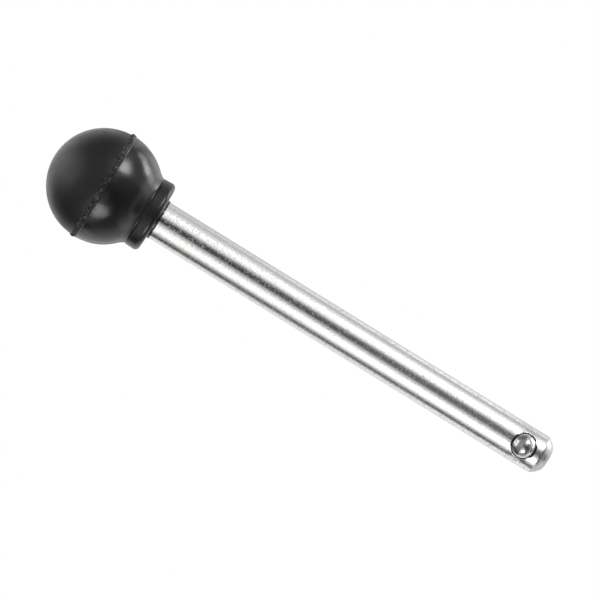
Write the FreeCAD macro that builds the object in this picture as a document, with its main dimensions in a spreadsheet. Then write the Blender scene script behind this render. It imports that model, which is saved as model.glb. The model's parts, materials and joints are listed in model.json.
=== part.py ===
"""Hitch pin lock: a plated steel pin with a spring-loaded detent ball near its tip and a
moulded rubber ball knob on its top end.

Millimetres. +Z runs up the pin's axis towards the knob, and the origin is on that axis at
the face of the knob's collar, where the pin's parallel part starts. The detent ball looks
out along -Y.
"""
import FreeCAD, Part
import math
import os

import Sketcher

# alias, size in millimetres (a number of turns for spring_turns), what it measures
DIMENSIONS = [
    ("pin_diameter", 10.0, "parallel part of the pin"),
    ("pin_length", 111.75, "collar face to the end of the nose"),
    ("parallel_length", 101.3, "collar face to the start of the relieved lead"),
    ("lead_diameter", 9.98, "lead at the start of the nose"),
    ("nose_length", 2.5, "rounded chamfer, along the axis"),
    ("nose_flat_diameter", 5.2, "flat end of the nose"),
    ("nose_bend_radius", 5.2, "bend of the rounded chamfer"),
    ("nose_edge_radius", 0.2, "softening of the nose's two edges"),
    ("neck_diameter", 9.2, "neck inside the collar's mouth"),
    ("neck_length", 2.0, "collar face to the insert's face"),
    ("stud_diameter", 8.0, "threaded stud, at its nominal size"),
    ("stud_end", 14.5, "collar face to the stud's end"),
    ("stud_chamfer", 0.8, "chamfer at the stud's end"),
    ("detent_drop", 104.6, "collar face to the detent's axis"),
    ("bore_diameter", 6.45, "blind bore for the ball and spring"),
    ("bore_floor", 2.8, "bore's flat floor, beyond the pin's axis"),
    ("ball_diameter", 6.1, "detent ball"),
    ("ball_reach", 3.9, "ball's centre at rest, out from the pin's axis"),
    ("seat_gap", 0.05, "gap between the ball and the staked lip that holds it"),
    ("seat_start", 4.35, "inner end of the staked lip, out from the pin's axis"),
    ("seat_end", 4.7, "outer end of the staked lip, out from the pin's axis"),
    ("rim_radius", 0.1, "rounded rim of the bore's mouth"),
    ("bore_run_out", 1.0, "cut carried on outside the pin"),
    ("spring_diameter", 4.4, "mean diameter of the coil"),
    ("spring_wire", 0.4, "wire"),
    ("spring_turns", 4.0, "turns of the coil"),
    ("spring_gap", 0.02, "gap between the coil and the ball"),
    ("knob_diameter", 28.34, "ball of the knob, on the collar's side of its moulding line"),
    ("cap_diameter", 28.2, "ball of the knob, on the far side of its moulding line"),
    ("knob_height", 15.08, "collar face to the ball's centre"),
    ("blend_diameter", 19.9, "where the ball turns into the neck blend"),
    ("blend_radius", 6.0, "hollow bend between the ball and the collar"),
    ("crease_diameter", 18.14, "crease between the blend and the collar"),
    ("crease_height", 3.76, "collar face to the crease"),
    ("shoulder_diameter", 18.28, "collar just below the crease"),
    ("shoulder_height", 3.5, "collar face to the shoulder below the crease"),
    ("collar_diameter", 18.52, "collar at its widest"),
    ("collar_edge_radius", 1.25, "rounded edge of the collar's face"),
    ("mouth_diameter", 10.4, "mouth of the collar, round the pin"),
    ("mouth_depth", 0.4, "depth of the mouth's chamfer"),
    ("flash_diameter", 29.6, "crest of the moulding line round the ball"),
    ("flash_height", 15.3, "collar face to the middle of the moulding line"),
    ("flash_crest", 0.3, "width of the moulding line's crest"),
    ("flash_base", 1.3, "width of the moulding line's foot"),
    ("flash_sink", 0.1, "moulding line's foot, below the ball's surface"),
    ("flash_root", 27.0, "moulding line's depth into the ball"),
    ("insert_diameter", 13.0, "threaded insert's two lands"),
    ("insert_waist", 11.0, "insert's retaining groove"),
    ("insert_top", 17.0, "collar face to the insert's closed end"),
    ("insert_bore_end", 15.0, "collar face to the bottom of the insert's bore"),
    ("insert_chamfer", 0.5, "chamfer at the insert's closed end"),
    ("waist_bottom", 8.0, "collar face to the groove's lower edge"),
    ("waist_top", 11.0, "collar face to the groove's upper edge"),
    ("waist_slope", 0.6, "height of the groove's sloping sides"),
]
VOLUME_TOLERANCE = 0.02
SAME_PLACE = 1e-6
ON_SURFACE = 1e-4
POINTS_ALONG_EDGE = 9

# what a sketch calls its own axes and an edge's points
HORIZONTAL, VERTICAL = -1, -2
START, END, CENTRE = 1, 2, 3

doc = FreeCAD.newDocument("hitch_pin_lock")


def fill_sheet():
    """Put the driving dimensions in the document's spreadsheet."""
    sheet = doc.addObject("Spreadsheet::Sheet", "dims")
    for row, (alias, value, meaning) in enumerate(DIMENSIONS, start=1):
        sheet.set(f"A{row}", meaning)
        sheet.set(f"B{row}", str(value))
        sheet.setAlias(f"B{row}", alias)
    doc.recompute()
    return sheet


dims = fill_sheet()


def number(formula):
    """Return what a formula in the sheet's names comes to."""
    return float(dims.evalExpression(formula))


def add_body(label):
    """Start a sub-part that is built from sketches."""
    body = doc.addObject("PartDesign::Body", label)
    body.Label = label
    return body


def add_sketch(body, role, name):
    """Put an empty sketch on one of the body's own origin planes."""
    sketch = body.newObject("Sketcher::SketchObject", name)
    plane = next(f for f in body.Origin.OriginFeatures if f.Role == role)
    sketch.AttachmentSupport = (plane, "")
    sketch.MapMode = "FlatFace"
    return sketch


def bind(sketch, constraint, name, formula):
    """Add a named constraint whose value follows a formula."""
    sketch.renameConstraint(sketch.addConstraint(constraint), name)
    sketch.setExpression(f"Constraints.{name}", formula)


def place_point(sketch, edge, end, name, across, along):
    """Hold one end of an edge at a place given by two formulas."""
    for word, formula, axis in (("DistanceX", across, VERTICAL), ("DistanceY", along, HORIZONTAL)):
        if formula == "0":
            sketch.addConstraint(Sketcher.Constraint("PointOnObject", edge, end, axis))
        else:
            rule = Sketcher.Constraint(word, edge, end, number(formula))
            bind(sketch, rule, f"{name}_{word}", formula)


def arc_between(start, finish, radius):
    """Return an arc from start to finish, centred to the left of the way if radius is plus."""
    chord = finish - start
    middle = (start + finish) * 0.5
    left = FreeCAD.Vector(-chord.y, chord.x, 0).normalize()
    depth = math.sqrt(radius**2 - (chord.Length / 2) ** 2)
    side = math.copysign(1, radius)
    centre = middle + left * depth * side
    circle = Part.Circle(centre, FreeCAD.Vector(0, 0, 1), abs(radius))
    ends = [circle.parameter(start), circle.parameter(finish)]
    if radius < 0:
        ends.reverse()
    return Part.ArcOfCircle(circle, *ends)


def draw_outline(sketch, corners):
    """Draw a closed outline through corners.

    A corner is (across, along) for a straight edge to the next one, or (across, along,
    radius) for an arc to it, all as formulas. The arc's centre is on the left of the way
    round, or on the right when the radius starts with a minus sign.
    """
    places = [FreeCAD.Vector(number(c[0]), number(c[1]), 0) for c in corners]
    starts = []
    ends = []
    for index, corner in enumerate(corners):
        here = places[index]
        there = places[(index + 1) % len(places)]
        if len(corner) == 2:
            edge = sketch.addGeometry(Part.LineSegment(here, there), False)
            start, finish = START, END
        else:
            arc = arc_between(here, there, number(corner[2]))
            edge = sketch.addGeometry(arc, False)
            start, finish = (END, START) if corner[2].startswith("-") else (START, END)
        starts.append((edge, start))
        ends.append((edge, finish))
    for index, start in enumerate(starts):
        sketch.addConstraint(Sketcher.Constraint("Coincident", *ends[index - 1], *start))
    for index, corner in enumerate(corners):
        place_point(sketch, *starts[index], f"corner_{index}", corner[0], corner[1])
        if len(corner) == 3:
            formula = corner[2].lstrip("-")
            rule = Sketcher.Constraint("Radius", starts[index][0], number(formula))
            bind(sketch, rule, f"bend_{index}", formula)


def add_turned(body, kind, sketch, axis, name):
    """Add a full Revolution or Groove of a sketch about one of its own axes."""
    feature = body.newObject(f"PartDesign::{kind}", name)
    feature.Profile = sketch
    feature.ReferenceAxis = (sketch, [axis])
    feature.Angle = 360
    doc.recompute()
    return feature


def ring_names(shape, height, radius):
    """Name the circular edges of one size about the Z axis at one height."""
    names = []
    for index, edge in enumerate(shape.Edges, start=1):
        curve = edge.Curve
        if not isinstance(curve, Part.Circle):
            continue
        off_axis = math.hypot(curve.Center.x, curve.Center.y)
        misfit = max(off_axis, abs(curve.Center.z - height), abs(curve.Radius - radius))
        if misfit < SAME_PLACE:
            names.append(f"Edge{index}")
    return names


def mouth_names(shape):
    """Name the edges where the detent's bore comes out through the pin's side."""
    drop = number("dims.detent_drop")
    wall = number("dims.bore_diameter / 2")
    skin = number("dims.lead_diameter / 2")
    names = []
    for index, edge in enumerate(shape.Edges, start=1):
        points = edge.discretize(POINTS_ALONG_EDGE)
        on_wall = all(abs(math.hypot(p.x, p.z + drop) - wall) < ON_SURFACE for p in points)
        on_skin = all(math.hypot(p.x, p.y) > skin - ON_SURFACE for p in points)
        if on_wall and on_skin:
            names.append(f"Edge{index}")
    return names


def make_shank():
    """Turned pin: stud and neck inside the knob, parallel part, relieved lead and nose."""
    body = add_body("shank")
    profile = add_sketch(body, "XZ_Plane", "shank_profile")
    draw_outline(profile, [
        ("0", "dims.stud_end"),
        ("0", "-dims.pin_length"),
        ("dims.nose_flat_diameter / 2", "-dims.pin_length", "dims.nose_bend_radius"),
        ("dims.lead_diameter / 2", "-dims.pin_length + dims.nose_length"),
        ("dims.pin_diameter / 2", "-dims.parallel_length"),
        ("dims.pin_diameter / 2", "0"),
        ("dims.neck_diameter / 2", "0"),
        ("dims.neck_diameter / 2", "dims.neck_length"),
        ("dims.stud_diameter / 2", "dims.neck_length"),
        ("dims.stud_diameter / 2", "dims.stud_end - dims.stud_chamfer"),
        ("dims.stud_diameter / 2 - dims.stud_chamfer", "dims.stud_end"),
    ])
    turned = add_turned(body, "Revolution", profile, "V_Axis", "shank_turned")

    edges = ring_names(turned.Shape, -number("dims.pin_length"),
                       number("dims.nose_flat_diameter / 2"))
    edges += ring_names(turned.Shape, number("dims.nose_length - dims.pin_length"),
                        number("dims.lead_diameter / 2"))
    softened = body.newObject("PartDesign::Fillet", "nose_edges")
    softened.Base = (turned, edges)
    softened.setExpression("Radius", "dims.nose_edge_radius")
    doc.recompute()

    # the bore's outline is drawn about its own axis, which is the sketch's horizontal one
    bore = add_sketch(body, "YZ_Plane", "detent_bore_profile")
    bore.setExpression("AttachmentOffset.Base.y", "-dims.detent_drop")
    wall = "dims.bore_diameter / 2"
    seat = "(dims.ball_diameter / 2 + dims.seat_gap)"
    outside = "(dims.pin_diameter / 2 + dims.bore_run_out)"
    draw_outline(bore, [
        (f"-{outside}", "0"),
        ("dims.bore_floor", "0"),
        ("dims.bore_floor", wall),
        ("-dims.seat_start", wall),
        ("-dims.seat_start", f"sqrt({seat} ^ 2 - (dims.seat_start - dims.ball_reach) ^ 2)",
         seat),
        ("-dims.seat_end", f"sqrt({seat} ^ 2 - (dims.seat_end - dims.ball_reach) ^ 2)"),
        ("-dims.seat_end", wall),
        (f"-{outside}", wall),
    ])
    solid_before = softened.Shape.Volume
    drilled = add_turned(body, "Groove", bore, "H_Axis", "detent_bore")
    removed = solid_before - drilled.Shape.Volume
    least = math.pi * number("dims.bore_diameter / 2") ** 2 * number("dims.bore_floor")
    if removed < least:
        raise RuntimeError(f"the detent bore took only {removed:.1f} cubic millimetres")

    rim = body.newObject("PartDesign::Fillet", "bore_rim")
    rim.Base = (drilled, mouth_names(drilled.Shape))
    rim.setExpression("Radius", "dims.rim_radius")
    doc.recompute()
    return body


def make_grip():
    """Rubber knob: a ball, a hollow blend, a flared collar, the insert's cavity and the
    moulding line that stands round the ball's middle."""
    body = add_body("grip")
    profile = add_sketch(body, "XZ_Plane", "grip_profile")
    ball = "dims.knob_diameter / 2"
    cap = "dims.cap_diameter / 2"
    parting = "(dims.flash_height - dims.knob_height)"
    blend_drop = "sqrt((dims.knob_diameter / 2) ^ 2 - (dims.blend_diameter / 2) ^ 2)"
    waist = "dims.insert_waist / 2"
    land = "dims.insert_diameter / 2"
    draw_outline(profile, [
        ("dims.neck_diameter / 2", "dims.mouth_depth"),
        ("dims.mouth_diameter / 2", "0"),
        ("dims.collar_diameter / 2 - dims.collar_edge_radius", "0",
         "dims.collar_edge_radius"),
        ("dims.collar_diameter / 2", "dims.collar_edge_radius"),
        ("dims.shoulder_diameter / 2", "dims.shoulder_height"),
        ("dims.crease_diameter / 2", "dims.crease_height", "-dims.blend_radius"),
        ("dims.blend_diameter / 2", f"dims.knob_height - {blend_drop}", ball),
        (f"sqrt(({ball}) ^ 2 - {parting} ^ 2)", "dims.flash_height"),
        (f"sqrt(({cap}) ^ 2 - {parting} ^ 2)", "dims.flash_height", cap),
        ("0", f"dims.knob_height + {cap}"),
        ("0", "dims.insert_top"),
        (f"{land} - dims.insert_chamfer", "dims.insert_top"),
        (land, "dims.insert_top - dims.insert_chamfer"),
        (land, "dims.waist_top"),
        (waist, "dims.waist_top - dims.waist_slope"),
        (waist, "dims.waist_bottom + dims.waist_slope"),
        (land, "dims.waist_bottom"),
        (land, "dims.neck_length"),
        ("dims.neck_diameter / 2", "dims.neck_length"),
    ])
    add_turned(body, "Revolution", profile, "V_Axis", "grip_moulded")

    flash = add_sketch(body, "XZ_Plane", "moulding_line_profile")
    draw_outline(flash, [
        ("dims.flash_root / 2", "dims.flash_height - dims.flash_base / 2"),
        (f"{ball} - dims.flash_sink", "dims.flash_height - dims.flash_base / 2"),
        ("dims.flash_diameter / 2", "dims.flash_height - dims.flash_crest / 2"),
        ("dims.flash_diameter / 2", "dims.flash_height + dims.flash_crest / 2"),
        (f"{cap} - dims.flash_sink", "dims.flash_height + dims.flash_base / 2"),
        ("dims.flash_root / 2", "dims.flash_height + dims.flash_base / 2"),
    ])
    add_turned(body, "Revolution", flash, "V_Axis", "moulding_line")
    return body


def make_knob_insert():
    """Blind threaded insert that the rubber is moulded round, with a retaining groove."""
    body = add_body("knob_insert")
    profile = add_sketch(body, "XZ_Plane", "insert_profile")
    waist = "dims.insert_waist / 2"
    land = "dims.insert_diameter / 2"
    draw_outline(profile, [
        ("dims.stud_diameter / 2", "dims.neck_length"),
        (land, "dims.neck_length"),
        (land, "dims.waist_bottom"),
        (waist, "dims.waist_bottom + dims.waist_slope"),
        (waist, "dims.waist_top - dims.waist_slope"),
        (land, "dims.waist_top"),
        (land, "dims.insert_top - dims.insert_chamfer"),
        (f"{land} - dims.insert_chamfer", "dims.insert_top"),
        ("0", "dims.insert_top"),
        ("0", "dims.insert_bore_end"),
        ("dims.stud_diameter / 2", "dims.insert_bore_end"),
    ])
    add_turned(body, "Revolution", profile, "V_Axis", "insert_turned")
    return body


def make_detent_ball():
    """Hardened ball, held by the staked seat and standing proud of the pin."""
    ball = doc.addObject("Part::Sphere", "detent_ball")
    ball.Label = "detent_ball"
    ball.setExpression("Radius", "dims.ball_diameter / 2")
    ball.setExpression("Placement.Base.y", "-dims.ball_reach")
    ball.setExpression("Placement.Base.z", "-dims.detent_drop")
    doc.recompute()
    return ball


def make_detent_spring():
    """Coil spring between the bore's floor and the back of the ball, wound about the bore."""
    body = add_body("detent_spring")
    body.setExpression("Placement.Base.z", "-dims.detent_drop")
    section = add_sketch(body, "XY_Plane", "wire_section")
    coil = "dims.spring_diameter / 2"
    reach = "(dims.ball_diameter + dims.spring_wire) / 2"
    on_ball = f"(sqrt(({reach}) ^ 2 - ({coil}) ^ 2) - dims.ball_reach + dims.spring_gap)"
    on_floor = "(dims.bore_floor - dims.spring_wire / 2)"
    wire = Part.Circle(FreeCAD.Vector(number(coil), number(on_ball), 0),
                       FreeCAD.Vector(0, 0, 1), number("dims.spring_wire / 2"))
    edge = section.addGeometry(wire, False)
    place_point(section, edge, CENTRE, "centre", coil, on_ball)
    bind(section, Sketcher.Constraint("Radius", edge, wire.Radius), "wire_radius",
         "dims.spring_wire / 2")

    winding = body.newObject("PartDesign::AdditiveHelix", "spring_coil")
    winding.Profile = section
    winding.ReferenceAxis = (section, ["V_Axis"])
    winding.Mode = "height-turns-angle"
    winding.setExpression("Height", f"{on_floor} - {on_ball}")
    winding.setExpression("Turns", "dims.spring_turns")
    doc.recompute()

    turn_length = 2 * math.pi * number(coil) * number("dims.spring_turns")
    wire_length = math.hypot(turn_length, number(f"{on_floor} - {on_ball}"))
    expected = wire_length * math.pi * number("dims.spring_wire / 2") ** 2
    if abs(winding.Shape.Volume / expected - 1) > VOLUME_TOLERANCE:
        raise RuntimeError(f"the spring's volume is {winding.Shape.Volume:.2f}, not {expected:.2f}")
    return body


def check_document(sub_parts):
    """Stop if any object failed, any sketch is loose or any sub-part isn't a sound solid."""
    for thing in doc.Objects:
        if "Invalid" in thing.State or "Error" in thing.State:
            raise RuntimeError(f"{thing.Label} failed: {thing.State}")
        if thing.TypeId == "Sketcher::SketchObject" and not thing.FullyConstrained:
            raise RuntimeError(f"{thing.Label} isn't fully constrained")
    for sub_part in sub_parts:
        shape = sub_part.Shape
        if shape.isNull() or not shape.isValid() or len(shape.Solids) != 1:
            raise RuntimeError(f"{sub_part.Label} isn't one sound solid")


def export_parts(sub_parts):
    """Write each sub-part's shape and print its size."""
    os.makedirs("parts", exist_ok=True)
    for sub_part in sub_parts:
        shape = sub_part.Shape
        shape.exportStep(f"parts/{sub_part.Label}.step")
        box = shape.BoundBox
        print(f"{sub_part.Label:14s} {shape.Volume:10.2f} mm3"
              f"  x {box.XMin:7.2f} {box.XMax:7.2f}"
              f"  y {box.YMin:7.2f} {box.YMax:7.2f}"
              f"  z {box.ZMin:8.2f} {box.ZMax:8.2f}")


assembly = [make_shank(), make_grip(), make_knob_insert(), make_detent_ball(),
            make_detent_spring()]
doc.recompute()
check_document(assembly)
export_parts(assembly)
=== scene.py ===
"""Looks of the hitch pin lock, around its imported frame: a plated steel pin, a moulded rubber
ball knob and a bright detent ball, on white under soft studio light.

Metres, in the part's own frame: +Z up the pin towards the knob, origin at the face of the
knob's collar, the detent ball looking out along -Y.
"""
import json
import math
import random

import bpy
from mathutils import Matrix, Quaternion, Vector, noise

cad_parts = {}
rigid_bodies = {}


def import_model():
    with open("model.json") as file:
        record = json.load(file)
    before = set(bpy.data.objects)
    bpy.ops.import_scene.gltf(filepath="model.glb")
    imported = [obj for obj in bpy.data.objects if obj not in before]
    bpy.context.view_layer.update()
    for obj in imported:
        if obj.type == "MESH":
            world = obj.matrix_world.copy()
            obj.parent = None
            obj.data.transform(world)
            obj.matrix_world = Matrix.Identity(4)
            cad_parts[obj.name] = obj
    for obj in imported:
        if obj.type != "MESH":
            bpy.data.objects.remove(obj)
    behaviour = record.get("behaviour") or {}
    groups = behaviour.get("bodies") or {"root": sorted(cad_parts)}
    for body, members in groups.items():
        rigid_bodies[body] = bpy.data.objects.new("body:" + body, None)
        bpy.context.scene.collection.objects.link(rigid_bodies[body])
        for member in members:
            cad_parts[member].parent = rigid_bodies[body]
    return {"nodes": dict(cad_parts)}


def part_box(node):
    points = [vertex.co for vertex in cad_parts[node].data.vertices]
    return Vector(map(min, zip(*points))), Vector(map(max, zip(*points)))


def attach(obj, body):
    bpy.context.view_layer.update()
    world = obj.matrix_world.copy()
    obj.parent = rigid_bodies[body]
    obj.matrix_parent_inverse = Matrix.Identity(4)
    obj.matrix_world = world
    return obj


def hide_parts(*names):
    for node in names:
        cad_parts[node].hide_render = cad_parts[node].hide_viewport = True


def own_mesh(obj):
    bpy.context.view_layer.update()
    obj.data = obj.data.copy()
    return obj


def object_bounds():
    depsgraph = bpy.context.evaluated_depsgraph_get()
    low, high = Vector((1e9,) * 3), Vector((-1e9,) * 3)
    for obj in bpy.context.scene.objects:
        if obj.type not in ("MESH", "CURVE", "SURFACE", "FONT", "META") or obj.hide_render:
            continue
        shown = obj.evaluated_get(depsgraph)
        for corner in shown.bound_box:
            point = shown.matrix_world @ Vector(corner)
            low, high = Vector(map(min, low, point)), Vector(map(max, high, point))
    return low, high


for leftover in list(bpy.data.objects):
    bpy.data.objects.remove(leftover)
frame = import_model()
cad_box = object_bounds()

MM = 0.001

# the pin, whose nose is rounded over its last few millimetres
shank_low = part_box("shank")[0]
PIN_RADIUS = 5.0 * MM
NOSE_START = shank_low.z + 2.5 * MM
NOSE_EDGE = 0.2 * MM

# the knob, from its box: a cap half and a slightly larger collar half of one ball, with the
# moulding line between them in a band of finer mesh, and so many vertices round it
grip_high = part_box("grip")[1]
CAP_RADIUS = 14.10 * MM
BALL_RADIUS = 14.17 * MM
BALL_CENTRE = grip_high.z - CAP_RADIUS
PARTING_HEIGHT = 15.30 * MM
PARTING_HALF_WIDTH = 0.9 * MM
AROUND = 900

# below the ball: a hollow bend down to a sharp crease, and the collar's shoulder, both as
# (across, up) places, then the collar and its rounded foot
BLEND_START_RADIUS = 9.95 * MM
BLEND_BEND = 6.0 * MM
CREASE = (9.07 * MM, 3.76 * MM)
SHOULDER = (9.16 * MM, 3.50 * MM)
COLLAR_RADIUS = 9.26 * MM
COLLAR_EDGE = 1.25 * MM
# the thin torn lip round the pin, its ripples as a share of its height and how many a radian,
# and how far up inside the collar the mesh ends
LIP_WALL = 0.22 * MM
LIP_HEIGHT = 0.65 * MM
LIP_ROOT_WIDTH = 0.2 * MM
LIP_ROOT_HEIGHT = 0.1 * MM
LIP_RIPPLES = ((0.25, 9), (0.12, 31))
COLLAR_INSIDE = 0.5 * MM

# waves in the rubber's skin, as their height and how many a metre: all over, and on the
# collar half
SLOW_WAVES = (0.045 * MM, 110)
COLLAR_WAVES = (0.10 * MM, 260)

# the torn moulding line: a low ridge with beads of torn rubber on it, and a thin rib below.
# A bead shifts along the line by a share of their spacing, drifts across it from where the
# last one was, and stands up by a share of its own radius
LINE_REACH = PARTING_HALF_WIDTH * 1.2
RIDGE_HEIGHT = 0.12 * MM
RIDGE_HALF_WIDTH = 0.35 * MM
RIB_HEIGHT = 0.14 * MM
RIB_HALF_WIDTH = 0.18 * MM
RIB_DROP = 0.62 * MM
BEADS = 120
BEAD_SEED = 11
BEAD_SHIFT = 0.3
BEAD_DRIFT = 0.42 * MM
BEAD_DRIFT_KEPT = 0.65
BEAD_RADII = (0.24 * MM, 0.44 * MM)
BEAD_STANDS = (0.8, 1.5)

# colours
PLATING = (0.80, 0.80, 0.79)
DULL_PLATING = (0.72, 0.72, 0.71)
NOSE_STEEL = (0.56, 0.56, 0.55)
# painted shade: the detent bore's walls and staked lip are coloured dark, for the shade in the
# recess round the ball
BORE_PAINTED_SHADE = (0.15, 0.15, 0.15)
BALL_STEEL = (0.74, 0.74, 0.74)
DULL_BALL_STEEL = (0.42, 0.42, 0.42)
SPRING_STEEL = (0.42, 0.42, 0.43)
BRASS = (0.72, 0.52, 0.24)
RUBBER = (0.015, 0.015, 0.015)
TORN_RUBBER = (0.10, 0.10, 0.10)

# the coil spring behind the detent ball
ball_low, ball_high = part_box("detent_ball")
spring_low, spring_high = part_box("detent_spring")
BALL_AXIS_HEIGHT = (ball_low.z + ball_high.z) / 2
COIL_RADIUS = 2.2 * MM
WIRE_RADIUS = 0.2 * MM
COIL_TURNS = 4.0
COIL_CLOSING = 0.06
COIL_STEPS_A_TURN = 48
WIRE_SIDES = 12
BORE_RADIUS = 3.225 * MM

# the camera faces the detent ball, from a little to +X and a little above
CAMERA_AIM = Vector((1.447 * MM, 0.058 * MM, -39.905 * MM))
CAMERA_DISTANCE = 1.215
CAMERA_LENS = 300.0
CAMERA_SENSOR = 36.0
CAMERA_AZIMUTH = 2.3
CAMERA_ELEVATION = 3.1
CAMERA_ROLL = -58.3

# the white floor
FLOOR_RADIUS = 0.6
FLOOR_CORNERS = 96
FLOOR_GAP = 0.2 * MM

# soft lights, which the world holds: azimuth round the pin from the camera's side and
# elevation in degrees, full out to one angle and gone by another, brightness
SOFT_LIGHTS = {
    "key": (56.5, -12.5, 2.0, 17.0, 8.4),
    "fill": (-49.0, -16.0, 2.0, 19.0, 4.3),
    "kicker": (105.0, -36.0, 2.0, 10.0, 6.0),
    "kicker_top": (108.5, -24.0, 1.0, 13.0, 2.6),
    "kicker_foot": (115.0, -44.0, 1.0, 14.0, 2.8),
    "overhead": (-50.0, 81.0, 5.0, 36.0, 1.25),
}
# the pin's side mirrors only directions near the horizon, and its bands come from there. So
# the soft lights start this far above or below the horizon, and are whole from this far
SOFT_LIGHT_HEIGHTS = (0.06, 0.16)

# what the surfaces see round them, as azimuth in degrees and brightness: beside the pin's knob
# end, its nose end and its tip, then above, below and down to straight down
BY_KNOB = [
    (-180, 0.35), (-165, 0.50), (-155, 0.95), (-131, 0.92), (-122, 0.62), (-114, 0.10),
    (-108, 0.02), (-100, 0.05), (-92, 0.26), (-84, 0.47), (-77, 0.74), (-70, 1.06),
    (-63, 1.22), (-51, 1.26), (-39, 1.16), (-28, 0.98), (-22, 0.76), (-11, 0.40),
    (-6, 0.12), (-2, 0.02), (8, 0.02), (14, 0.08), (22, 0.30), (28, 0.64), (34, 0.86),
    (42, 0.93), (64, 0.90), (84, 0.78), (100, 0.64), (155, 0.60), (165, 0.40), (180, 0.35),
]
BY_NOSE = [
    (-180, 0.35), (-165, 0.50), (-155, 0.95), (-131, 0.98), (-119, 1.06), (-109, 0.76),
    (-100, 0.20), (-93, 0.08), (-84, 0.34), (-77, 0.66), (-70, 1.02), (-60, 1.24),
    (-33, 1.14), (-28, 0.96), (-22, 0.68), (-16, 0.41), (-11, 0.24), (-4, 0.16), (12, 0.19),
    (16, 0.24), (22, 0.50), (28, 0.94), (34, 1.24), (65, 1.22), (84, 0.90), (93, 0.72),
    (100, 0.42), (109, 0.78), (118, 1.30), (130, 1.25), (155, 0.80), (180, 0.35),
]
TIP_SHADE_START = 105
TIP_SHADE = 0.66
BY_TIP = [(degrees, TIP_SHADE if degrees > TIP_SHADE_START else brightness)
          for degrees, brightness in BY_NOSE]
ABOVE = [(-180, 1.35), (-150, 1.15), (-130, 0.22), (-100, 0.05), (-60, 0.24), (0, 0.38),
         (60, 0.30), (95, 0.15), (115, 0.25), (132, 0.80), (150, 1.20), (180, 1.35)]
BELOW = [(-180, 0.90), (-125, 0.95), (-105, 0.66), (-90, 0.30), (-60, 0.14), (-20, 0.08),
         (5, 0.06), (25, 0.26), (50, 0.55), (75, 0.70), (95, 0.50), (112, 0.70), (130, 1.35),
         (150, 1.35), (180, 0.90)]
FAR_BELOW = [(-180, 0.80), (-100, 1.30), (-75, 0.60), (-50, 0.25), (0, 0.12), (50, 0.30),
             (70, 0.80), (90, 1.40), (120, 1.20), (180, 0.80)]
NEAR_DOWN = [(-180, 0.70), (-90, 0.90), (-40, 0.55), (40, 0.55), (90, 0.90), (180, 0.70)]
STRAIGHT_DOWN = [(-180, 0.30), (-60, 0.12), (60, 0.12), (180, 0.30)]
# each one takes over between two heights of the direction looked in, on a ball of radius 1,
# from BY_KNOB and the ones before it
SURROUNDINGS = [
    (BY_NOSE, -0.015, -0.095),
    (BY_TIP, -0.102, -0.110),
    (ABOVE, 0.02, 0.16),
    (BELOW, -0.20, -0.36),
    (FAR_BELOW, -0.74, -0.82),
    (NEAR_DOWN, -0.920, -0.940),
    (STRAIGHT_DOWN, -0.968, -0.982),
]


def new_material(name, metallic, color=(0.5, 0.5, 0.5), roughness=0.5):
    """Return a material with one Principled shader, and that shader."""
    material = bpy.data.materials.new(name)
    material.use_nodes = True
    shader = material.node_tree.nodes["Principled BSDF"]
    shader.inputs["Base Color"].default_value = (*color, 1.0)
    shader.inputs["Metallic"].default_value = metallic
    shader.inputs["Roughness"].default_value = roughness
    return material, shader


def add_place(tree):
    """Return the surface's place in the part's frame."""
    return tree.nodes.new("ShaderNodeTexCoord").outputs["Object"]


def add_split(tree, vector):
    """Return a vector's X, Y and Z outputs, by name."""
    split = tree.nodes.new("ShaderNodeSeparateXYZ")
    tree.links.new(vector, split.inputs["Vector"])
    return split.outputs


def stretched_place(tree, stretch):
    """Return the surface's place in the part's frame, scaled along each axis."""
    mapping = tree.nodes.new("ShaderNodeMapping")
    mapping.inputs["Scale"].default_value = stretch
    tree.links.new(add_place(tree), mapping.inputs["Vector"])
    return mapping.outputs["Vector"]


def add_noise(tree, grain, stretch=(1, 1, 1), detail=2.0, rough=0.5):
    """Return noise whose grains are grain metres across, before stretching."""
    texture = tree.nodes.new("ShaderNodeTexNoise")
    texture.inputs["Scale"].default_value = 1 / grain
    texture.inputs["Detail"].default_value = detail
    texture.inputs["Roughness"].default_value = rough
    tree.links.new(stretched_place(tree, stretch), texture.inputs["Vector"])
    return texture.outputs["Fac"]


def add_range(tree, value, low, high, start=0.0, end=1.0):
    """Return a value mapped from start..end to low..high."""
    mapped = tree.nodes.new("ShaderNodeMapRange")
    mapped.inputs["From Min"].default_value = start
    mapped.inputs["From Max"].default_value = end
    mapped.inputs["To Min"].default_value = low
    mapped.inputs["To Max"].default_value = high
    tree.links.new(value, mapped.inputs["Value"])
    return mapped.outputs["Result"]


def add_math(tree, operation, *inputs):
    """Return a math node's result, its inputs being values from other nodes or numbers."""
    node = tree.nodes.new("ShaderNodeMath")
    node.operation = operation
    for socket, value in zip(node.inputs, inputs):
        if isinstance(value, float):
            socket.default_value = value
        else:
            tree.links.new(value, socket)
    return node.outputs["Value"]


def add_vector_math(tree, operation, vector, constant=None):
    """Return a vector math node, fed by a vector and, if the operation takes it, a constant."""
    node = tree.nodes.new("ShaderNodeVectorMath")
    node.operation = operation
    tree.links.new(vector, node.inputs[0])
    if constant is not None:
        node.inputs[1].default_value = constant
    return node


def add_mix(tree, share, first, second):
    """Return a blend from the first colour to the second; either may be another node's."""
    mix = tree.nodes.new("ShaderNodeMix")
    mix.data_type = "RGBA"
    tree.links.new(share, mix.inputs["Factor"])
    color_sockets = mix.inputs[6:8]
    for socket, color in zip(color_sockets, (first, second)):
        if isinstance(color, tuple):
            socket.default_value = (*color, 1.0)
        else:
            tree.links.new(color, socket)
    mixed_color = mix.outputs[2]
    return mixed_color


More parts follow.
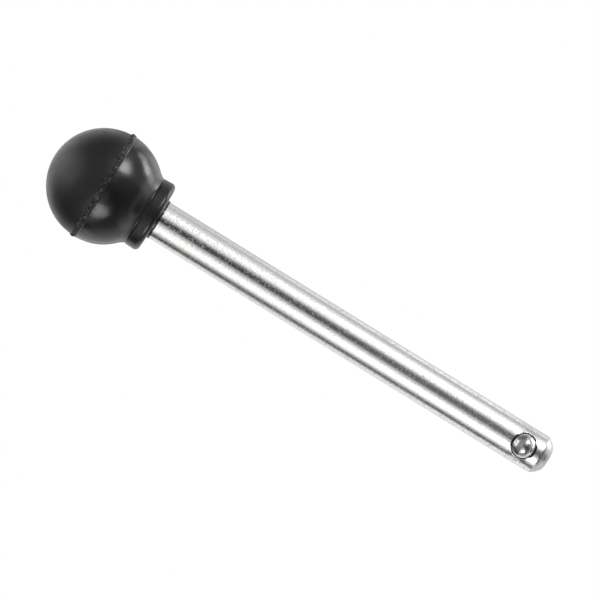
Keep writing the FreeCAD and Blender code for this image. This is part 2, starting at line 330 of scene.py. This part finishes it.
def add_bump(tree, height, depth, under=None):
    """Return a normal bent by a height pattern, depth metres deep, over another normal."""
    bump = tree.nodes.new("ShaderNodeBump")
    bump.inputs["Strength"].default_value = 1.0
    bump.inputs["Distance"].default_value = depth
    tree.links.new(height, bump.inputs["Height"])
    if under is not None:
        tree.links.new(under, bump.inputs["Normal"])
    return bump.outputs["Normal"]


def inside_bore(tree):
    """Return 1 on the detent bore's walls and staked lip, and 0 on the rest of the pin."""
    wall_edge = 0.1 * MM
    floor_edges = (0.3 * MM, 0.6 * MM)
    place = add_place(tree)
    moved = add_vector_math(tree, "SUBTRACT", place, (0.0, 0.0, BALL_AXIS_HEIGHT))
    flat = add_vector_math(tree, "MULTIPLY", moved.outputs["Vector"], (1.0, 0.0, 1.0))
    from_axis = add_vector_math(tree, "LENGTH", flat.outputs["Vector"]).outputs["Value"]
    near = add_range(tree, from_axis, 1.0, 0.0, start=BORE_RADIUS, end=BORE_RADIUS + wall_edge)
    before_floor = add_range(tree, add_split(tree, place)["Y"], 1.0, 0.0,
                             start=spring_high.y + floor_edges[0],
                             end=spring_high.y + floor_edges[1])
    return add_math(tree, "MULTIPLY", near, before_floor)


def on_nose(tree):
    """Return 1 on the pin's nose and 0 up the pin."""
    return add_range(tree, add_split(tree, add_place(tree))["Z"], 1.0, 0.0,
                     start=NOSE_START, end=NOSE_START + NOSE_EDGE)


def make_plated_steel():
    """Bright plating over ground bar: fine pits, faint drawn lines and small dull patches, a
    duller turned nose, and painted shade inside the detent bore: its walls and lip are coloured
    dark."""
    material, shader = new_material("plated_steel_look", metallic=1.0)
    tree = material.node_tree
    nose = on_nose(tree)
    nose_roughness = 0.17
    speck_roughness = 0.33
    specks = add_range(tree, add_noise(tree, 0.60 * MM, rough=0.7), 0.0, 1.0,
                       start=0.52, end=0.62)
    color = add_mix(tree, specks, PLATING, DULL_PLATING)
    color = add_mix(tree, nose, color, NOSE_STEEL)
    # painted shade: dark colour on the bore's walls and lip, for the shade round the detent ball
    color = add_mix(tree, inside_bore(tree), color, BORE_PAINTED_SHADE)
    tree.links.new(color, shader.inputs["Base Color"])
    roughness = add_range(tree, add_noise(tree, 2.5 * MM, detail=4.0), 0.06, 0.11,
                          start=0.3, end=0.7)
    for mask, extra in ((nose, nose_roughness), (specks, speck_roughness)):
        roughness = add_math(tree, "ADD", roughness, add_math(tree, "MULTIPLY", mask, extra))
    tree.links.new(roughness, shader.inputs["Roughness"])
    drawn_lines = add_noise(tree, 0.35 * MM, stretch=(1, 1, 0.04))
    lined = add_bump(tree, drawn_lines, depth=0.002 * MM)
    pits = add_range(tree, add_noise(tree, 0.55 * MM, rough=0.7), 0.0, 1.0,
                     start=0.56, end=0.68)
    pitted = add_bump(tree, pits, depth=0.007 * MM, under=lined)
    tree.links.new(pitted, shader.inputs["Normal"])
    return material


def make_ball_steel():
    """Bearing ball with small marks from use."""
    material, shader = new_material("ball_steel_look", metallic=1.0)
    tree = material.node_tree
    specks = add_range(tree, add_noise(tree, 0.60 * MM, rough=0.7), 0.0, 1.0,
                       start=0.46, end=0.62)
    tree.links.new(add_mix(tree, specks, BALL_STEEL, DULL_BALL_STEEL),
                   shader.inputs["Base Color"])
    marks = add_noise(tree, 0.8 * MM, detail=3.0)
    roughness = add_range(tree, marks, 0.13, 0.26, start=0.4, end=0.7)
    tree.links.new(roughness, shader.inputs["Roughness"])
    fine = add_noise(tree, 0.45 * MM)
    tree.links.new(add_bump(tree, fine, depth=0.008 * MM), shader.inputs["Normal"])
    return material


def make_spring_steel():
    """Drawn spring wire."""
    material, shader = new_material("spring_steel_look", metallic=1.0, color=SPRING_STEEL,
                                    roughness=0.3)
    tree = material.node_tree
    drawn = add_noise(tree, 0.15 * MM)
    tree.links.new(add_bump(tree, drawn, depth=0.004 * MM), shader.inputs["Normal"])
    return material


def make_insert_brass():
    """Turned brass of the knob's insert."""
    material, shader = new_material("insert_brass_look", metallic=1.0, color=BRASS, roughness=0.3)
    tree = material.node_tree
    turned = add_noise(tree, 0.2 * MM, stretch=(0.05, 0.05, 1), detail=1.0)
    tree.links.new(add_bump(tree, turned, depth=0.01 * MM), shader.inputs["Normal"])
    return material


def make_black_rubber():
    """Moulded rubber: the cap half is matte, and the collar half came out of a smoother mould,
    but for its neck. The moulding line is torn: dull all along, and grey in places."""
    material, shader = new_material("black_rubber_look", metallic=0.0)
    tree = material.node_tree
    height = add_split(tree, add_place(tree))["Z"]
    mould_edge = 0.3 * MM
    line_roughness = 0.25
    roughness = add_range(tree, height, 0.19, 0.40,
                          start=PARTING_HEIGHT - mould_edge, end=PARTING_HEIGHT + mould_edge)
    patches = add_range(tree, add_noise(tree, 3.0 * MM, detail=4.0), -0.05, 0.05,
                        start=0.3, end=0.7)
    neck = add_range(tree, height, 0.06, 0.0, start=3.5 * MM, end=6.0 * MM)
    above_parting = add_math(tree, "SUBTRACT", height, PARTING_HEIGHT)
    on_line = add_range(tree, add_math(tree, "ABSOLUTE", above_parting), 1.0, 0.0,
                        start=0.45 * MM, end=0.80 * MM)
    for extra in (patches, neck, add_math(tree, "MULTIPLY", on_line, line_roughness)):
        roughness = add_math(tree, "ADD", roughness, extra)
    tree.links.new(roughness, shader.inputs["Roughness"])
    torn = add_range(tree, add_noise(tree, 0.8 * MM), 0.0, 1.0, start=0.52, end=0.60)
    color = add_mix(tree, add_math(tree, "MULTIPLY", on_line, torn), RUBBER, TORN_RUBBER)
    tree.links.new(color, shader.inputs["Base Color"])
    waves = add_noise(tree, 1.3 * MM, stretch=(1, 1, 0.4), detail=3.0, rough=0.6)
    wavy = add_bump(tree, waves, depth=0.026 * MM)
    skin = add_noise(tree, 0.40 * MM, detail=3.0, rough=0.6)
    tree.links.new(add_bump(tree, skin, depth=0.007 * MM, under=wavy), shader.inputs["Normal"])
    return material


def make_floor_white():
    """White that glows evenly, so that no shadow of the part shows on it."""
    material, shader = new_material("floor_white", metallic=0.0, color=(0.0, 0.0, 0.0),
                                    roughness=1.0)
    shader.inputs["Specular IOR Level"].default_value = 0.0
    shader.inputs["Emission Color"].default_value = (1.0, 1.0, 1.0, 1.0)
    shader.inputs["Emission Strength"].default_value = 1.0
    return material


def arc_points(centre, radius, start, end, step):
    """Return (across, up) points along an arc, from one angle to another, in degrees."""
    count = max(2, math.ceil(abs(math.radians(end - start)) * radius / step))
    angles = [math.radians(start + (end - start) * i / count) for i in range(count + 1)]
    return [(centre[0] + radius * math.cos(a), centre[1] + radius * math.sin(a)) for a in angles]


def line_points(start, end, step):
    """Return evenly spaced points after start and up to end."""
    count = max(1, math.ceil(math.dist(start, end) / step))
    return [(start[0] + (end[0] - start[0]) * i / count,
             start[1] + (end[1] - start[1]) * i / count) for i in range(1, count + 1)]


def blend_arc():
    """Return the centre, start and end of the hollow bend between the ball and the collar."""
    drop = math.sqrt(BALL_RADIUS**2 - BLEND_START_RADIUS**2)
    start = Vector((BLEND_START_RADIUS, BALL_CENTRE - drop))
    end = Vector(CREASE)
    chord = end - start
    outward = Vector((-chord.y, chord.x)).normalized()
    depth = math.sqrt(BLEND_BEND**2 - (chord.length / 2) ** 2)
    return (start + end) / 2 + outward * depth, start, end


def angle_from(centre, point):
    """Return the direction of a point from a centre, in degrees."""
    return math.degrees(math.atan2(point[1] - centre[1], point[0] - centre[0]))


def angle_of_height(height, radius):
    """Return where round the knob's outline, in degrees, its ball reaches a height."""
    return math.degrees(math.asin((height - BALL_CENTRE) / radius))


def grip_outline():
    """Return the knob's outline from its top down to the lip round the pin."""
    coarse = 0.30 * MM
    fine = 0.08 * MM
    ball = (0.0, BALL_CENTRE)
    top_of_band = angle_of_height(PARTING_HEIGHT + PARTING_HALF_WIDTH, CAP_RADIUS)
    parting_on_cap = angle_of_height(PARTING_HEIGHT, CAP_RADIUS)
    parting_on_ball = angle_of_height(PARTING_HEIGHT, BALL_RADIUS)
    foot_of_band = angle_of_height(PARTING_HEIGHT - PARTING_HALF_WIDTH, BALL_RADIUS)
    centre, blend_start, blend_end = blend_arc()
    beside_pole = 89.6
    points = arc_points(ball, CAP_RADIUS, beside_pole, top_of_band, coarse)
    points += arc_points(ball, CAP_RADIUS, top_of_band, parting_on_cap, fine)[1:]
    points += arc_points(ball, BALL_RADIUS, parting_on_ball, foot_of_band, fine)
    points += arc_points(ball, BALL_RADIUS, foot_of_band, angle_from(ball, blend_start),
                         coarse)[1:]
    points += arc_points(centre, BLEND_BEND, angle_from(centre, blend_start) % 360,
                         angle_from(centre, blend_end) % 360, coarse)[1:]
    points += line_points(points[-1], SHOULDER, fine)
    points += line_points(points[-1], (COLLAR_RADIUS, COLLAR_EDGE), coarse)
    corner = (COLLAR_RADIUS - COLLAR_EDGE, COLLAR_EDGE)
    points += arc_points(corner, COLLAR_EDGE, 0, -90, fine * 2)[1:]
    lip_outside = PIN_RADIUS + LIP_WALL
    points += line_points(points[-1], (lip_outside + LIP_ROOT_WIDTH, 0.0), coarse)
    points += line_points(points[-1], (lip_outside, -LIP_ROOT_HEIGHT), fine)
    points += line_points(points[-1], (lip_outside, -LIP_HEIGHT + LIP_WALL / 2), fine)
    points += arc_points((PIN_RADIUS + LIP_WALL / 2, -LIP_HEIGHT + LIP_WALL / 2),
                         LIP_WALL / 2, 0, -180, fine)[1:]
    points += line_points(points[-1], (PIN_RADIUS, COLLAR_INSIDE), coarse)
    return points


def ridge(offset, half_width):
    """Return a rounded ridge's height, from 1 on its crest to 0 at its foot."""
    return max(0.0, 1 - (offset / half_width) ** 2) ** 1.5


def torn_beads():
    """Return the beads of torn rubber along the moulding line: place round it in beads, place
    across it, radius and how far each stands up."""
    chance = random.Random(BEAD_SEED)
    beads = []
    across = 0.0
    for index in range(BEADS):
        across = BEAD_DRIFT_KEPT * across + chance.uniform(-BEAD_DRIFT, BEAD_DRIFT)
        radius = chance.uniform(*BEAD_RADII)
        beads.append((index + chance.uniform(-BEAD_SHIFT, BEAD_SHIFT), across, radius,
                      radius * chance.uniform(*BEAD_STANDS)))
    return beads


def moulding_line_rise(point, beads):
    """Return how far the torn moulding line stands up at a place near the ball's middle."""
    offset = point.z - PARTING_HEIGHT
    if abs(offset) > LINE_REACH:
        return 0.0
    share = math.atan2(point.y, point.x) / (2 * math.pi) * BEADS
    spacing = 2 * math.pi * BALL_RADIUS / BEADS
    rise = RIDGE_HEIGHT * ridge(offset, RIDGE_HALF_WIDTH)
    # only the beads next to this place can reach it
    for index in range(math.floor(share) - 1, math.floor(share) + 3):
        place, across, radius, height = beads[index % BEADS]
        along = (share - place + BEADS / 2) % BEADS - BEADS / 2
        distance = math.hypot(along * spacing, offset - across)
        rise = max(rise, height * math.sqrt(max(0.0, 1 - (distance / radius) ** 2)))
    rib = RIB_HEIGHT * ridge(offset + RIB_DROP, RIB_HALF_WIDTH)
    return rise + rib


def skin_rise(point):
    """Return the knob's small departures from a true ball; its collar half is the wavier."""
    height, waves = SLOW_WAVES
    slow = height * noise.noise(point * waves)
    if point.z > PARTING_HEIGHT or point.z < SHOULDER[1]:
        return slow
    height, waves = COLLAR_WAVES
    stretched = Vector((point.x, point.y, point.z * 0.5))
    elsewhere = Vector((3.0, 0.0, 0.0))
    return slow + height * noise.noise(stretched * waves + elsewhere)


def add_mesh(name, vertices, faces, material):
    """Return a new object made of a smooth-shaded mesh in one material."""
    mesh = bpy.data.meshes.new(name)
    mesh.from_pydata(vertices, [], faces)
    mesh.validate()
    mesh.polygons.foreach_set("use_smooth", [True] * len(mesh.polygons))
    mesh.materials.append(material)
    thing = bpy.data.objects.new(name, mesh)
    bpy.context.scene.collection.objects.link(thing)
    return thing


def make_grip():
    """Rubber knob turned from its outline, then roughened like the moulding."""
    outline = grip_outline()
    beads = torn_beads()
    last = len(outline) - 1
    vertices = [(0.0, 0.0, grip_high.z)]
    for index, (across, up) in enumerate(outline):
        before = outline[max(index - 1, 0)]
        after = outline[min(index + 1, last)]
        slope = Vector((after[0] - before[0], after[1] - before[1])).normalized()
        outward = Vector((-slope.y, slope.x))
        on_lip = up < -LIP_ROOT_HEIGHT / 2
        for step in range(AROUND):
            turn = 2 * math.pi * step / AROUND
            spoke = Vector((math.cos(turn), math.sin(turn), 0.0))
            point = spoke * across + Vector((0.0, 0.0, up))
            rise = 0.0
            if across > PIN_RADIUS + LIP_WALL:
                rise = skin_rise(point) + moulding_line_rise(point, beads)
            point += (spoke * outward.x + Vector((0.0, 0.0, outward.y))) * rise
            if on_lip:
                point.z *= 1 + sum(height * noise.noise(spoke * waves)
                                   for height, waves in LIP_RIPPLES)
            vertices.append(tuple(point))
    faces = [(0, 1 + step, 1 + (step + 1) % AROUND) for step in range(AROUND)]
    for ring in range(last):
        here = 1 + ring * AROUND
        below = here + AROUND
        for step in range(AROUND):
            beside = (step + 1) % AROUND
            faces.append((here + step, below + step, below + beside, here + beside))
    knob = add_mesh("rubber_knob", vertices, faces, make_black_rubber())
    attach(knob, "pin")
    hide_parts("grip")


def coil_place(turn, start, end):
    """Return the wire's centre after some turns, closing up at both ends."""
    share = turn / COIL_TURNS
    eased = share - COIL_CLOSING * math.sin(2 * math.pi * share)
    along = start + (end - start) * eased
    angle = 2 * math.pi * turn
    return Vector((COIL_RADIUS * math.cos(angle), along,
                   BALL_AXIS_HEIGHT + COIL_RADIUS * math.sin(angle)))


def make_spring():
    """Coil spring between the bore's floor and the detent ball."""
    start = spring_low.y + WIRE_RADIUS
    end = spring_high.y - WIRE_RADIUS
    steps = int(COIL_TURNS * COIL_STEPS_A_TURN)
    sides = WIRE_SIDES
    little = 0.001
    vertices = []
    for step in range(steps + 1):
        turn = COIL_TURNS * step / steps
        centre = coil_place(turn, start, end)
        ahead = coil_place(turn + little, start, end)
        forward = (ahead - centre).normalized()
        outward = (centre - Vector((0.0, centre.y, BALL_AXIS_HEIGHT))).normalized()
        across = forward.cross(outward)
        for side in range(sides):
            angle = 2 * math.pi * side / sides
            offset = outward * math.cos(angle) + across * math.sin(angle)
            vertices.append(tuple(centre + offset * WIRE_RADIUS))
    faces = [tuple(range(sides)), tuple(reversed(range(steps * sides, (steps + 1) * sides)))]
    for step in range(steps):
        here = step * sides
        for side in range(sides):
            beside = (side + 1) % sides
            faces.append((here + beside, here + side, here + sides + side, here + sides + beside))
    spring = add_mesh("coil_spring", vertices, faces, make_spring_steel())
    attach(spring, "pin")
    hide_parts("detent_spring")
    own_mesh(spring)


def dress_node(node, material):
    """Give a CAD node its finished material."""
    for slot in frame["nodes"][node].material_slots:
        slot.material = material


def make_floor():
    """Round white floor under the pin's nose, which the pin's own reflections don't see."""
    level = cad_box[0].z - FLOOR_GAP
    angles = [2 * math.pi * corner / FLOOR_CORNERS for corner in range(FLOOR_CORNERS)]
    ring = [(FLOOR_RADIUS * math.cos(a), FLOOR_RADIUS * math.sin(a), level) for a in angles]
    floor = add_mesh("floor", ring, [tuple(range(FLOOR_CORNERS))], make_floor_white())
    floor.visible_glossy = False
    floor.visible_diffuse = False


def add_surroundings(tree, share, stops):
    """Return the brightness at a share of the way round, from stops by azimuth."""
    ramp = tree.nodes.new("ShaderNodeValToRGB")
    elements = ramp.color_ramp.elements
    for index, (degrees, brightness) in enumerate(stops):
        position = (degrees + 180) / 360
        element = elements[index] if index < len(elements) else elements.new(position)
        element.position = position
        element.color = (brightness, brightness, brightness, 1.0)
    tree.links.new(share, ramp.inputs["Fac"])
    return ramp.outputs["Color"]


def add_soft_light(tree, direction, azimuth, elevation, full, gone, brightness):
    """Return the brightness of a round soft-edged light in a direction."""
    turn = math.radians(azimuth)
    rise = math.radians(elevation)
    towards_light = (math.cos(rise) * math.sin(turn), -math.cos(rise) * math.cos(turn),
                     math.sin(rise))
    dot = add_vector_math(tree, "DOT_PRODUCT", direction, towards_light)
    lit = add_range(tree, dot.outputs["Value"], 0.0, brightness,
                    start=math.cos(math.radians(gone)), end=math.cos(math.radians(full)))
    lit.node.interpolation_type = "SMOOTHSTEP"
    return lit


def make_world():
    """White to the camera. The surfaces see a studio turned with the camera: brightnesses by
    azimuth, which change with height, and the soft lights."""
    world = bpy.data.worlds.new("studio")
    bpy.context.scene.world = world
    world.use_nodes = True
    tree = world.node_tree
    tree.nodes.clear()
    turned = tree.nodes.new("ShaderNodeVectorRotate")
    turned.rotation_type = "Z_AXIS"
    turned.inputs["Angle"].default_value = -math.radians(CAMERA_AZIMUTH)
    place = tree.nodes.new("ShaderNodeTexCoord")
    tree.links.new(place.outputs["Generated"], turned.inputs["Vector"])
    direction = turned.outputs["Vector"]
    looked = add_split(tree, direction)
    height = looked["Z"]
    forward = add_math(tree, "MULTIPLY", looked["Y"], -1.0)
    azimuth = add_math(tree, "ARCTAN2", looked["X"], forward)
    share = add_range(tree, azimuth, 0.0, 1.0, start=-math.pi, end=math.pi)

    brightness = add_surroundings(tree, share, BY_KNOB)
    for stops, start, end in SURROUNDINGS:
        change = tree.nodes.new("ShaderNodeMix")
        taken = add_range(tree, height, 0.0, 1.0, start, end)
        tree.links.new(taken, change.inputs["Factor"])
        tree.links.new(brightness, change.inputs["A"])
        tree.links.new(add_surroundings(tree, share, stops), change.inputs["B"])
        brightness = change.outputs["Result"]
    off_horizon = add_range(tree, add_math(tree, "ABSOLUTE", height), 0.0, 1.0,
                            *SOFT_LIGHT_HEIGHTS)
    for light in SOFT_LIGHTS.values():
        lit = add_math(tree, "MULTIPLY", add_soft_light(tree, direction, *light), off_horizon)
        brightness = add_math(tree, "ADD", brightness, lit)

    seen = tree.nodes.new("ShaderNodeLightPath").outputs["Is Camera Ray"]
    pick = tree.nodes.new("ShaderNodeMix")
    tree.links.new(seen, pick.inputs["Factor"])
    tree.links.new(brightness, pick.inputs["A"])
    pick.inputs["B"].default_value = 1.0
    background = tree.nodes.new("ShaderNodeBackground")
    background.inputs["Color"].default_value = (1.0, 1.0, 1.0, 1.0)
    tree.links.new(pick.outputs["Result"], background.inputs["Strength"])
    output = tree.nodes.new("ShaderNodeOutputWorld")
    tree.links.new(background.outputs["Background"], output.inputs["Surface"])


def make_camera():
    """Long-lens camera over the pin, rolled so that the knob is at the upper left."""
    lens = bpy.data.cameras.new("camera")
    lens.lens = CAMERA_LENS
    lens.sensor_width = CAMERA_SENSOR
    camera = bpy.data.objects.new("camera", lens)
    bpy.context.scene.collection.objects.link(camera)
    turn = math.radians(CAMERA_AZIMUTH)
    tilt = math.radians(CAMERA_ELEVATION)
    back = Vector((math.cos(tilt) * math.sin(turn), -math.cos(tilt) * math.cos(turn),
                   math.sin(tilt)))
    camera.location = CAMERA_AIM + back * CAMERA_DISTANCE
    camera.rotation_mode = "QUATERNION"
    roll = Quaternion((0.0, 0.0, 1.0), math.radians(CAMERA_ROLL))
    camera.rotation_quaternion = (-back).to_track_quat("-Z", "Y") @ roll
    bpy.context.scene.camera = camera


make_camera()
make_world()
make_floor()
make_grip()
make_spring()
dress_node("shank", make_plated_steel())
dress_node("detent_ball", make_ball_steel())
dress_node("knob_insert", make_insert_brass())
bpy.context.scene.view_settings.view_transform = "Standard"
